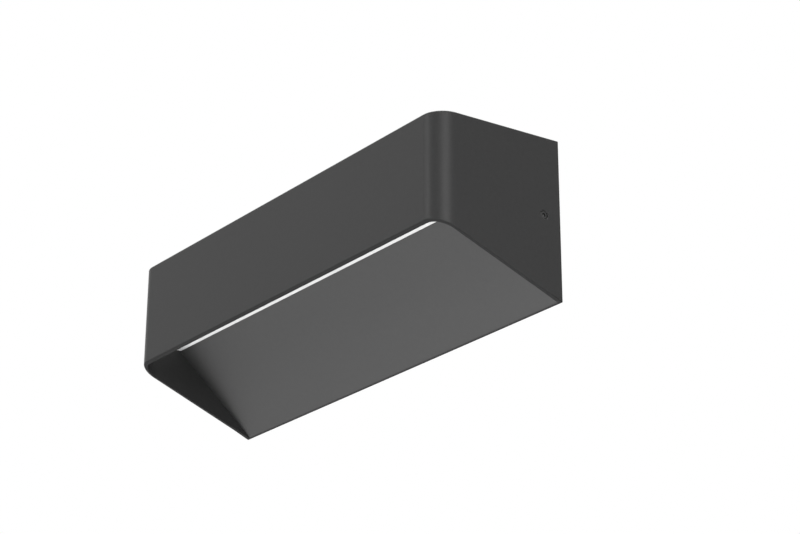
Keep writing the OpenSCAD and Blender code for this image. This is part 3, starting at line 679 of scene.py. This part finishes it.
# %% Transformer, capacitors and leads
TRANSFORMER_X = (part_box("driver_transformer")[0].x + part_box("driver_transformer")[1].x) / 2
GEAR_Z = (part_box("driver_case")[0].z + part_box("driver_case")[1].z) / 2
TAPE_HALF, TAPE_SOFT, TAPE_PITCH, TAPE_RELIEF = 7.5, 0.15, 1.6, 0.05
STRIPE_LOW, STRIPE_HIGH = -4.9, -4.7
TAPE_GRAIN, SLEEVE_GRAIN, JACKET_GRAIN = 0.4, 0.5, 0.6
BAND_PITCH, BAND_SLANT = 6.0, 0.6
SMOOTH_RELIEF = 0.01


def wound_tape(point):
    """Tape between the cores: its turns are thin steps along the winding."""
    tape = within(part_of(point, "X") - TRANSFORMER_X, TAPE_HALF, TAPE_SOFT)
    turns = part_of(point, "Y") * (1 / (TAPE_PITCH * MM))
    step = turns.maths("FRACT", turns)
    fine = cloud(point, TAPE_GRAIN * MM)
    return {"Base Color": between(tape, (0.035, 0.034, 0.036), (0.72, 0.50, 0.06)),
            "Roughness": 0.62 - 0.3 * tape + 0.1 * fine,
            "Normal": relief(tape * 4 + tape * step + fine, TAPE_RELIEF * MM)}


def sleeve(point):
    """A dark shrunk sleeve with one pale stripe along its lower side."""
    stripe = 1 - ramp(part_of(point, "Z") - GEAR_Z, STRIPE_LOW * MM, STRIPE_HIGH * MM)
    fine = cloud(point, SLEEVE_GRAIN * MM)
    return {"Base Color": between(stripe, (0.020, 0.024, 0.040), (0.48, 0.50, 0.53)),
            "Roughness": 0.3 + 0.12 * fine,
            "Normal": relief(fine, SMOOTH_RELIEF * MM)}


def jacket(name, first, second, share_of=None):
    """A lead's smooth plastic jacket, with a second colour where share_of says."""
    def pattern(point):
        fine = cloud(point, JACKET_GRAIN * MM)
        share = share_of(point) if share_of else fine
        return {"Base Color": between(share, first, second),
                "Roughness": 0.38 + 0.12 * fine,
                "Normal": relief(fine, SMOOTH_RELIEF * MM)}
    return finish(name, {}, pattern)


def earth_bands(point):
    """Green and yellow take turns every few millimetres along a slanting line."""
    run = (part_of(point, "X") + part_of(point, "Z") * BAND_SLANT) * (1 / (BAND_PITCH * MM))
    return ramp(run.maths("PINGPONG", run, 0.5), 0.30, 0.33)


tape_finish = finish("transformer_tape_turns", {}, wound_tape)
sleeve_finish = finish("capacitor_sleeve_stripe", {}, sleeve)
brown = jacket("brown_jacket", (0.10, 0.035, 0.014), (0.13, 0.048, 0.020))
blue = jacket("blue_jacket", (0.012, 0.085, 0.33), (0.018, 0.11, 0.40))
green_yellow = jacket("green_yellow_jacket", (0.03, 0.28, 0.05), (0.80, 0.66, 0.03), earth_bands)
red = jacket("red_jacket", (0.42, 0.015, 0.012), (0.52, 0.022, 0.018))
black = jacket("black_jacket", (0.012, 0.012, 0.012), (0.020, 0.020, 0.020))
print("finishes:", len(bpy.data.materials))

# %% [markdown]
# The diffuser is opal acrylic. About half of the light that falls on it goes through,
# so it sends back less than white paint does. It also glows a little by itself, and
# evenly, because the light of the chips behind it is spread in it.

# %% Opal acrylic
GLOW = 0.03
HAZE = 6.0


def opal(point):
    """Base and glow lie between two near tones, by the same soft noise."""
    haze = cloud(point, HAZE * MM)
    return {"Base Color": between(haze, (0.44, 0.44, 0.44), (0.50, 0.50, 0.50)),
            "Emission Color": between(haze, (0.97, 0.97, 0.97), (1.0, 1.0, 1.0)),
            "Roughness": 0.42 + 0.1 * haze}


opal_finish = finish("opal_acrylic", {"Emission Strength": GLOW}, opal)
print("diffuser glow", GLOW)

# %% [markdown]
# ## Copies with softened edges
# A CAD node arrives as loose triangles. A copy of it is merged at its points, and its
# flat faces become one face each, so that a Bevel modifier can round the edges.

# %% A softened copy of a CAD node
MERGE = 0.001 * MM
FLAT = math.radians(0.3)
EDGE = math.radians(35)
BEVEL_STEPS = 2


def merged(node):
    """A new mesh with a node's points merged and its flat faces made whole."""
    source = frame["nodes"][node].data
    points = np.empty(len(source.vertices) * 3, np.float32)
    source.vertices.foreach_get("co", points)
    corners = np.empty(len(source.loops), np.int32)
    source.loops.foreach_get("vertex_index", corners)
    mesh = bpy.data.meshes.new(node)
    mesh.from_pydata(points.reshape(-1, 3), [], corners.reshape(-1, 3))
    work = bmesh.new()
    work.from_mesh(mesh)
    bmesh.ops.remove_doubles(work, verts=work.verts, dist=MERGE)
    bmesh.ops.dissolve_limit(work, angle_limit=FLAT, verts=work.verts, edges=work.edges)
    work.to_mesh(mesh)
    work.free()
    return mesh


def softened(name, node, slot, material, width):
    """A piece that is a node's copy, with edges rounded by this width in millimetres."""
    piece = add_piece(name, merged(node), [node], material)
    bevel = piece.modifiers.new("soft_edges", "BEVEL")
    bevel.limit_method, bevel.angle_limit = "ANGLE", EDGE
    bevel.width, bevel.segments = width * MM, BEVEL_STEPS
    keep_flat(piece)
    return piece


SOFTENED = [
    # piece, node, slot, finish, edge in mm
    ("bracket_plate", "wall_bracket", "zinc_plated_steel", zinc, 0.2),
    ("bracket_washer", "bracket_earth_washer", "brass", brass, 0.1),
    ("opal_diffuser", "diffuser", "opal_plastic", opal_finish, 0.3),
    ("diffuser_seal_frame", "diffuser_seal", "white_silicone", silicone, 0.3),
    ("light_tray", "light_carrier", "bare_aluminium", bare, 0.2),
    ("chip_board", "led_board", "white_board", white_board, 0.1),
    ("board_chips", "led_chips", "chip_phosphor", chip_finish, 0.08),
    ("board_connector", "led_connector", "white_plastic", white_plastic, 0.25),
    ("gear_cover", "rear_cover", "black_plastic", black_plastic, 0.4),
    ("cover_foam", "cover_gasket", "grey_foam", foam_finish, 0.2),
    ("gear_case", "driver_case", "white_plastic", white_plastic, 0.4),
    ("gear_lid", "driver_lid", "white_plastic", white_plastic, 0.4),
    ("gear_board", "driver_board", "green_board", green_board, 0.1),
    ("gear_transformer", "driver_transformer", "transformer_tape", tape_finish, 0.8),
    ("gear_capacitors", "driver_capacitors", "capacitor_sleeve", sleeve_finish, 0.6),
    ("supply_terminals", "terminal_block", "cream_plastic", cream_plastic, 0.3),
    ("terminal_barrels", "terminal_inserts", "brass", brass, 0.2),
    ("earth_point_washer", "earth_washer", "brass", brass, 0.1),
    ("earth_point_tag", "earth_tag", "stainless_steel", tinned, 0.1),
]
for row in SOFTENED:
    softened(*row)
print("softened copies:", len(SOFTENED))

# %% [markdown]
# ## Screws
# A screw is a grid of rings: its rows climb from the tip to the drive's floor, and its
# columns go round. The thread is a groove whose depth depends on height less turn, so
# that it winds. The drive is a cross, a slot or a hexagon, seen from the middle as one
# reach for each direction, so the rings can run down into it without a seam.

# %% Rings and drives
THREAD_ROWS = 6
COLUMN_STEP = 0.27


def reach(corners, turn):
    """How far an outline round the middle reaches in each direction: where rays meet it."""
    corners = np.asarray(corners, float)
    angle = np.arctan2(corners[:, 1], corners[:, 0]) % (2 * np.pi)
    corners, angle = corners[np.argsort(angle)], np.sort(angle)
    first = np.searchsorted(angle, turn + 1e-9, side="right") - 1
    start, side = corners[first], corners[(first + 1) % len(corners)] - corners[first]
    return ((start[:, 0] * side[:, 1] - start[:, 1] * side[:, 0])
            / (np.cos(turn) * side[:, 1] - np.sin(turn) * side[:, 0]))


def columns_for(corners):
    """Directions for the columns: every corner of the drive, and steps between them."""
    corners = np.asarray(corners, float)
    angle = np.sort(np.arctan2(corners[:, 1], corners[:, 0]) % (2 * np.pi))
    gaps = np.diff(np.append(angle, angle[0] + 2 * np.pi))
    turn = np.concatenate([start + gap * np.arange(n) / n for start, gap, n in
                           zip(angle, gaps, np.ceil(gaps / COLUMN_STEP).astype(int))])
    return np.sort(turn % (2 * np.pi))


def cross(half_length, half_width):
    """Three corners of one arm, turned by a quarter three times."""
    a, b = half_length, half_width
    quarter = [(a, -b), (a, b), (b, b)]
    return [(x * c - y * s, x * s + y * c)
            for c, s in ((1, 0), (0, 1), (-1, 0), (0, -1)) for x, y in quarter]


def hexagon(radius):
    """Six corners evenly round a circle."""
    turn = np.arange(6) * np.pi / 3
    return np.stack([radius * np.cos(turn), radius * np.sin(turn)], -1)


def slot_outline(half_length, half_width):
    """The four corners of a slot."""
    a, b = half_length, half_width
    return [(a, b), (-a, b), (-a, -b), (a, -b)]


def thread(low, high, radius, pitch, depth, turn):
    """Rows of a wound groove: its depth follows height less turn, as a zigzag."""
    height = np.linspace(low, high, max(3, round((high - low) / pitch * THREAD_ROWS)))
    wave = np.abs(2 * ((height[:, None] / pitch - turn / (2 * np.pi)) % 1) - 1)
    return [(radius - depth * row, at) for row, at in zip(wave, height)]


def ringed(rows, turn):
    """A closed solid round the Z axis from rows of (radius, height)."""
    radius = np.array([np.broadcast_to(r, turn.shape) for r, _ in rows])
    height = np.array([np.broadcast_to(h, turn.shape) for _, h in rows])
    return carried(np.stack([radius * np.cos(turn), radius * np.sin(turn), height], -1))


def placed(solid, centre, head):
    """A solid moved to a centre and turned so that its Z axis points along head."""
    points, faces = solid
    head = np.asarray(head, float)
    side = np.roll(head, 1)
    return points @ np.array([side, np.cross(head, side), head]) + centre, faces


print("drives: cross, hexagon, slot")

# %% [markdown]
# Most screws here have a domed head with a cross drive. Their sizes are shares of the
# thread's and the head's radius, so one function makes the small ones and the two
# larger earth screws. Each set of screws ends where its CAD node's box ends.

# %% Pan screws
CROSS_LENGTH, CROSS_WIDTH, CROSS_DEPTH = 0.55, 0.13, 0.5


def pan_screw(radius, length, head_radius, head_height):
    """Seat at height 0: a pointed thread below, a domed head with a cross above."""
    outline = cross(CROSS_LENGTH * head_radius, CROSS_WIDTH * head_radius)
    turn = columns_for(outline)
    bend = np.linspace(0, np.pi / 2, 6)[:-1]
    dome = [(0.8 * head_radius + 0.2 * head_radius * np.cos(a),
             head_height * (0.45 + 0.45 * np.sin(a))) for a in bend]
    crown = 0.97 * head_height
    rows = [(0.55 * radius, -length), (0.8 * radius, -length + 0.2 * radius)]
    rows += thread(-length + 0.35 * radius, -0.25, radius, 0.5 * radius, 0.16 * radius, turn)
    rows += [(0.86 * radius, 0), (0.93 * head_radius, 0), (head_radius, 0.07 * head_radius)]
    rows += dome + [(0.72 * head_radius, crown), (1.06 * reach(outline, turn), head_height),
                    (reach(outline, turn), 0.96 * head_height),
                    (0.8 * reach(outline, turn), (1 - CROSS_DEPTH) * head_height)]
    return ringed(rows, turn)


SMALL, EARTH = (1.45, 2.7, 2.0), (1.95, 3.6, 2.6)
COVER_SCREWS = [(x, z) for x in cover_x for z in cover_z]
TRAY_SCREWS = [(x, boss_z) for x in BOSS_XS]
BOARD_SCREWS = [(steps * CHIP_PITCH, -BOARD_DEPTH) for steps in (-9, -3, 3, 9)]
GEAR_SCREWS = [(-107.5, 16.0), (4.5, 16.0)]
TERMINAL_SCREWS = [(64.0, 15.01), (76.0, 15.01)]
EARTH_SCREW, BRACKET_SCREW = [(EARTH_X, EARTH_Z)], [(-30.0, 18.0)]
PAN_SCREWS = [
    # piece, node, slot, finish, head towards, sizes, middles across that way
    ("cover_pan_screws", "cover_screws", "stainless_steel", stainless, (0, 1, 0), SMALL,
     COVER_SCREWS),
    ("tray_pan_screws", "carrier_screws", "stainless_steel", stainless, (0, 1, 0), SMALL,
     TRAY_SCREWS),
    ("board_pan_screws", "led_board_screws", "stainless_steel", stainless, (0, 0, -1), SMALL,
     BOARD_SCREWS),
    ("gear_pan_screws", "driver_screws", "stainless_steel", stainless, (0, -1, 0), SMALL,
     GEAR_SCREWS),
    ("terminal_pan_screws", "block_screws", "stainless_steel", stainless, (0, -1, 0), SMALL,
     TERMINAL_SCREWS),
    ("earth_pan_screw", "earth_screw", "brass", brass, (0, 1, 0), EARTH, EARTH_SCREW),
    ("bracket_pan_screw", "bracket_earth_screw", "brass", brass, (0, -1, 0), EARTH,
     BRACKET_SCREW),
]


def add_pan_screws(name, node, slot, material, head, sizes, middles):
    """Screws whose heads and tips end where the CAD node's box ends."""
    radius, head_radius, head_height = sizes
    axis = int(np.argmax(np.abs(head)))
    low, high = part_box(node)
    span = (high[axis] - low[axis]) / MM
    seat = (high if sum(head) > 0 else low)[axis] / MM - sum(head) * head_height
    one = pan_screw(radius, span - head_height, head_radius, head_height)
    solids = [placed(one, np.insert(np.array(middle), axis, seat), head) for middle in middles]
    return add_piece(name, gathered(name, solids), [node], material)


for row in PAN_SCREWS:
    add_pan_screws(*row)
print("pan screws:", sum(len(row[-1]) for row in PAN_SCREWS))

# %% [markdown]
# The side screws and the terminals' clamp screws have no head. A side screw is blackened
# steel with a hexagon socket, and ends just inside the wall. A clamp screw has a slot.

# %% Side screws and terminal screws
SET_RADIUS, SET_LENGTH, SET_POINT, SOCKET, SOCKET_DEPTH = 1.95, 4.0, 0.8, 1.0, 1.0
SET_PITCH, SET_GROOVE = 0.7, 0.3
TIP_IN = 5.3
CLAMP_RADIUS, CLAMP_TIP, CLAMP_END = 1.4, -26.9, -33.0
CLAMP_PITCH, CLAMP_GROOVE, CLAMP_SLOT = 0.6, 0.22, 0.9
POLES, CLAMP_ZS = (58.0, 70.0, 82.0), (11.21, 18.81)


def set_screw():
    """Flat point at height 0, a cone, the thread, a broken edge and a hexagon socket."""
    outline = hexagon(SOCKET)
    turn = columns_for(outline)
    rows = [(0.55 * SET_RADIUS, 0), (0.88 * SET_RADIUS, SET_POINT)]
    rows += thread(SET_POINT + 0.1, SET_LENGTH - 0.35, SET_RADIUS, SET_PITCH, SET_GROOVE, turn)
    rows += [(0.95 * SET_RADIUS, SET_LENGTH - 0.12), (0.9 * SET_RADIUS, SET_LENGTH),
             (1.08 * reach(outline, turn), SET_LENGTH),
             (reach(outline, turn), SET_LENGTH - 0.1),
             (reach(outline, turn), SET_LENGTH - SOCKET_DEPTH),
             (0.3, SET_LENGTH - SOCKET_DEPTH - 0.3)]
    return ringed(rows, turn)


def clamp_screw():
    """A slotted screw without a head: its tip is at height 0."""
    length = CLAMP_TIP - CLAMP_END
    outline = slot_outline(0.86 * CLAMP_RADIUS, 0.22 * CLAMP_RADIUS)
    turn = columns_for(outline)
    rows = [(0.7 * CLAMP_RADIUS, 0), (0.85 * CLAMP_RADIUS, 0.25)]
    rows += thread(0.4, length - 0.5, CLAMP_RADIUS, CLAMP_PITCH, CLAMP_GROOVE, turn)
    rows += [(CLAMP_RADIUS, length - 0.3), (0.93 * CLAMP_RADIUS, length),
             (reach(outline, turn), length), (reach(outline, turn), length - CLAMP_SLOT)]
    return ringed(rows, turn)


for side, side_name in ((-1, "left"), (1, "right")):
    at = (side * (HALF_WIDTH - TIP_IN), -SCREW_DEPTH, SCREW_Z)
    name = "set_screw_" + side_name
    add_piece(name, gathered(name, [placed(set_screw(), at, (side, 0, 0))]),
              ["side_screw_" + side_name], black_steel)
clamps = [placed(clamp_screw(), (x, CLAMP_TIP, z), (0, -1, 0)) for x in POLES for z in CLAMP_ZS]
add_piece("terminal_clamps", gathered("terminal_clamps", clamps), ["terminal_screws"],
          stainless)
print("side screws and clamps:", 2 + len(clamps))

# %% [markdown]
# ## Grommet and leads
# The grommet is one profile turned round its bore: a flange on each side of the cover,
# a waist that sits in the cover's hole, and a nose that closes on the cable. The leads
# are softened copies, as the CAD model already gives them their bends.

# %% Grommet and leads
GROMMET_X, GROMMET_Z = 30.0, 2.0
BORE, NOSE, NOSE_ROOT, WAIST, FLANGE = 4.0, 5.2, 7.63, 8.0, 11.0
BACK, COVER_BACK, COVER_FRONT, FLANGE_FRONT, NOSE_FRONT = 13.5, 15.0, 17.5, 19.0, 24.0
GROMMET_ROUND, GROMMET_SIDES = 0.35, 64
LEAD_ROUND = 0.2


def rounded(outline, radius):
    """A closed outline with every corner rounded."""
    outline = np.asarray(outline, float)
    return np.concatenate([
        round_corner(before, corner, after, radius, 4)
        for before, corner, after in zip(np.roll(outline, 1, 0), outline, np.roll(outline, -1, 0))])


def grommet():
    """Rings from an outline of radius and depth, closed along and round."""
    outline = rounded([
        (BORE, BACK), (FLANGE, BACK), (FLANGE, COVER_BACK), (WAIST, COVER_BACK),
        (WAIST, COVER_FRONT), (FLANGE, COVER_FRONT), (FLANGE, FLANGE_FRONT),
        (NOSE_ROOT, FLANGE_FRONT), (NOSE, NOSE_FRONT), (BORE, NOSE_FRONT)], GROMMET_ROUND)
    turn = np.linspace(0, 2 * np.pi, GROMMET_SIDES, endpoint=False)
    radius, depth = outline[:, :1], outline[:, 1:]
    points = np.stack([GROMMET_X + radius * np.cos(turn), -depth + 0 * turn,
                       GROMMET_Z + radius * np.sin(turn)], -1)
    return points.reshape(-1, 3), grid_faces(len(outline), len(turn), True, True)


add_piece("supply_grommet", gathered("supply_grommet", [grommet()]), ["cable_grommet"],
          rubber)
LEADS = [("live_wire", "live_lead", "brown_lead", brown),
         ("neutral_wire", "neutral_lead", "blue_lead", blue),
         ("earth_wire", "earth_lead", "green_yellow_lead", green_yellow),
         ("light_plus_wire", "led_plus_lead", "red_lead", red),
         ("light_minus_wire", "led_minus_lead", "black_lead", black)]
for row in LEADS:
    softened(*row, LEAD_ROUND)
print("grommet and leads:", 1 + len(LEADS))

# %% [markdown]
# ## Light and background
# The world is white to the camera, to reflections and through glass, but gives no light
# itself. A mix of shaders does this: its first place stays empty, which is black, and
# its factor is 1 for those rays alone.

# %% The world
def seen_directly(start):
    """The largest of three flags: 1 for camera, reflection and glass, and 0 for light."""
    seen = start.node("LightPath", {}, {}, "Is Camera Ray")
    for ray in ("Is Glossy Ray", "Is Transmission Ray"):
        seen = seen.maths("MAXIMUM", seen, start.node("LightPath", {}, {}, ray))
    return seen


world = bpy.data.worlds.new("studio")
world.use_nodes = True
bpy.context.scene.world = world
world.node_tree.nodes.clear()
start = Field(world.node_tree)
white = start.node("Background", {}, {"Color": (1, 1, 1, 1), "Strength": 1.0})
seen_world = start.node("MixShader", {}, {0: seen_directly(start), 2: white})
start.node("OutputWorld", {}, {"Surface": seen_world})
print("world nodes:", len(world.node_tree.nodes))

# %% [markdown]
# The light hangs on a wall, so the floor lies far below it. It is a flat sheet, and the
# same three flags bring its look most of the way to white, without any light from it.

# %% The floor
FLOOR_DROP, FLOOR_HALF, FLOOR_POINTS = 3.0, 6.0, 13
FLOOR_WHITE = 0.93
FLOOR_HAZE = 0.4

steps = np.linspace(-FLOOR_HALF, FLOOR_HALF, FLOOR_POINTS)
floor_x, floor_y = np.meshgrid(steps, steps)
floor_z = np.full_like(floor_x, -FLOOR_DROP)
floor_mesh = bpy.data.meshes.new("floor")
floor_mesh.from_pydata(np.stack([floor_x, floor_y, floor_z], -1).reshape(-1, 3), [],
                       grid_faces(FLOOR_POINTS, FLOOR_POINTS))
floor = bpy.data.objects.new("floor", floor_mesh)
bpy.context.scene.collection.objects.link(floor)


def pale_floor(point):
    """Tone and roughness follow one soft noise."""
    haze = cloud(point, FLOOR_HAZE)
    return {"Base Color": between(haze, (0.84, 0.84, 0.84), (0.88, 0.88, 0.88)),
            "Roughness": 0.7 + 0.1 * haze}


floor_finish = finish("pale_floor", {"Specular IOR Level": 0.0}, pale_floor)
floor_tree = floor_finish.node_tree
lit = Field(floor_tree, floor_tree.nodes["Principled BSDF"].outputs["BSDF"])
pale = lit.node("Emission", {}, {"Color": (1, 1, 1, 1), "Strength": 1.0})
seen_floor = lit.node("MixShader", {}, {0: seen_directly(lit) * FLOOR_WHITE, 1: lit, 2: pale})
floor_tree.links.new(seen_floor.socket, floor_tree.nodes["Material Output"].inputs["Surface"])
floor_mesh.materials.append(floor_finish)
print("floor", 2 * FLOOR_HALF, "m across, at", -FLOOR_DROP, "m")

# %% [markdown]
# A few large soft lamps stand round the object, so that its faces part as they do in a
# studio. Two low ones on the left light the front and the sloping face. The upright
# bands light the right side and show as soft stripes on the round corner. A small near
# one below makes the sloping face lighter towards its right end. The last two are there
# for views from above and from behind.

# %% Lamps
LAMPS = {
    # name: azimuth, elevation, distance, width, height, radiance
    "left_key": (-50, -38, 2.4, 1.2, 1.55, 2.70),
    "left_low": (-80, -68, 2.4, 1.55, 1.55, 8.90),
    "front_band": (-18, 15, 2.7, 0.75, 1.5, 6.60),
    "right_band": (56, 15, 1.6, 0.35, 0.9, 3.80),
    "right_band_middle": (68, 15, 1.6, 0.45, 0.9, 6.00),
    "right_band_edge": (80, 15, 1.6, 0.45, 0.9, 4.60),
    "right_low": (82, -64, 0.7, 0.4, 0.4, 6.60),
    "overhead": (0, 88, 1.6, 1.6, 1.6, 3.0),
    "back_fill": (200, 15, 1.6, 1.2, 1.2, 1.0),
}


def direction(azimuth, elevation):
    """The way out from the object, with azimuth 0 in front of it and 90 on its right."""
    a, e = math.radians(azimuth), math.radians(elevation)
    return Vector((math.sin(a) * math.cos(e), -math.cos(a) * math.cos(e), math.sin(e)))


def add_lamp(name, azimuth, elevation, distance, width, height, radiance):
    """A rectangular lamp that faces the object, with its brightness as seen."""
    data = bpy.data.lights.new(name, "AREA")
    data.shape = "RECTANGLE"
    data.size, data.size_y = width, height
    data.energy = radiance * math.pi * width * height
    lamp = bpy.data.objects.new(name, data)
    bpy.context.scene.collection.objects.link(lamp)
    out = direction(azimuth, elevation)
    lamp.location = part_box("housing")[0].lerp(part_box("housing")[1], 0.5) + out * distance
    lamp.rotation_mode = "QUATERNION"
    lamp.rotation_quaternion = out.to_track_quat("Z", "Y")
    lamp.visible_camera = False
    return lamp


for lamp_name, lamp_values in LAMPS.items():
    add_lamp(lamp_name, *lamp_values)
print("lamps:", ", ".join(LAMPS))

# %% [markdown]
# ## The camera
# The photograph looks up at the light from below its right end, with a long lens.
# The camera's place and turn were worked out from the object's corners in it.

# %% Camera
EYE = Vector((1.021006, -0.708489, -0.440649))
RIGHT = Vector((0.57321128, 0.81940218, 0.00298245))
UP = Vector((0.28193744, -0.20064373, 0.93821819))
FORWARD = Vector((-0.76937644, 0.53695639, 0.3460314))
LENS = 118.995

camera_data = bpy.data.cameras.new("camera")
camera_data.lens = LENS
camera_data.sensor_width = 36
camera_data.clip_start, camera_data.clip_end = 0.05, 50
camera = bpy.data.objects.new("camera", camera_data)
bpy.context.scene.collection.objects.link(camera)
camera.matrix_world = Matrix.Translation(EYE) @ Matrix((RIGHT, UP, -FORWARD)).transposed().to_4x4()
bpy.context.scene.camera = camera
bpy.context.scene.view_settings.view_transform = "Standard"
print("camera", [round(v, 3) for v in EYE], "lens", LENS)
